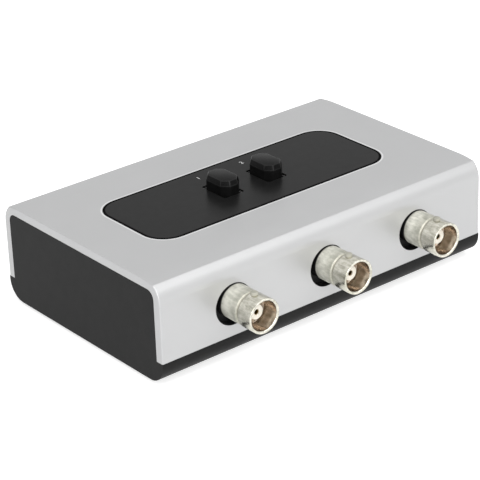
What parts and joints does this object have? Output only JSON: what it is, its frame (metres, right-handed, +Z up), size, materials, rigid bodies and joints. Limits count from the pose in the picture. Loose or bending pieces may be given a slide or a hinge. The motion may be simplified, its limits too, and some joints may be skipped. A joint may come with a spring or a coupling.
{
  "type": "coaxial antenna switch",
  "caption": "Box-shaped coaxial switch with bayonet jacks along one side and push-buttons on top that choose which antenna feeds a receiver.",
  "frame": {"origin": "on the ground under the middle of the whole object, jacks included", "axes": "+X along the case to the right as seen from the jacks, -Y the way the jacks point, +Z up"},
  "size_m": [0.1118, 0.0802, 0.0338],
  "materials": {
    "silver_paint": "satin silver-grey paint over moulded plastic",
    "case_plastic": "fine matte",
    "label_film": "semi-gloss",
    "cap_plastic": "satin",
    "nickel": "bright nickel plate",
    "white_insulator": "waxy",
    "contact_brass": "plated",
    "tinned_pin": "tinned",
    "housing_plastic": "matte",
    "switch_plastic": "matte",
    "plunger_plastic": "natural",
    "spring_steel": "bare",
    "sheet_steel": "zinc plated",
    "board_laminate": "solder mask",
    "screw_steel": "zinc plated",
    "foot_rubber": "matte"
  },
  "bodies": {
    "case": {"bank_bracket": "sheet_steel", "base_tray": "case_plastic", "board_screws": "screw_steel", "case_screws": "screw_steel", "circuit_board": "board_laminate", "ground_pins_1": "tinned_pin", "ground_pins_2": "tinned_pin", "ground_pins_3": "tinned_pin", "jack_contact_1": "contact_brass", "jack_contact_2": "contact_brass", "jack_contact_3": "contact_brass", "jack_housing_1": "housing_plastic", "jack_housing_2": "housing_plastic", "jack_housing_3": "housing_plastic", "jack_insulator_1": "white_insulator", "jack_insulator_2": "white_insulator", "jack_insulator_3": "white_insulator", "jack_shell_1": "nickel", "jack_shell_2": "nickel", "jack_shell_3": "nickel", "label_plate": "label_film", "latch_spring": "spring_steel", "return_spring_1": "spring_steel", "return_spring_2": "spring_steel", "rubber_feet": "foot_rubber", "switch_base_1": "switch_plastic", "switch_base_2": "switch_plastic", "switch_body_1": "switch_plastic", "switch_body_2": "switch_plastic", "terminals_1": "contact_brass", "terminals_2": "contact_brass", "top_cover": "silver_paint"},
    "button_1": {"button_cap_1": "cap_plastic", "plunger_1": "plunger_plastic", "moving_contacts_1": "contact_brass"},
    "button_2": {"button_cap_2": "cap_plastic", "plunger_2": "plunger_plastic", "moving_contacts_2": "contact_brass"},
    "latch": {"latch_bar": "sheet_steel"}
  },
  "joints": [
    {"name": "button_1_press", "type": "slide", "parent": "case", "child": "button_1", "axis": [0, 0, -1], "range_m": [0, 0.0026], "stiffness_N_per_m": 350, "springref_m": -0.001, "deforming": ["return_spring_1"]},
    {"name": "button_2_press", "type": "slide", "parent": "case", "child": "button_2", "axis": [0, 0, -1], "range_m": [0, 0.0026], "stiffness_N_per_m": 350, "springref_m": -0.001, "deforming": ["return_spring_2"]},
    {"name": "latch_shift", "type": "slide", "parent": "case", "child": "latch", "axis": [1, 0, 0], "range_m": [0, 0.001], "stiffness_N_per_m": 150, "springref_m": -0.001, "deforming": ["latch_spring"]}
  ]
}
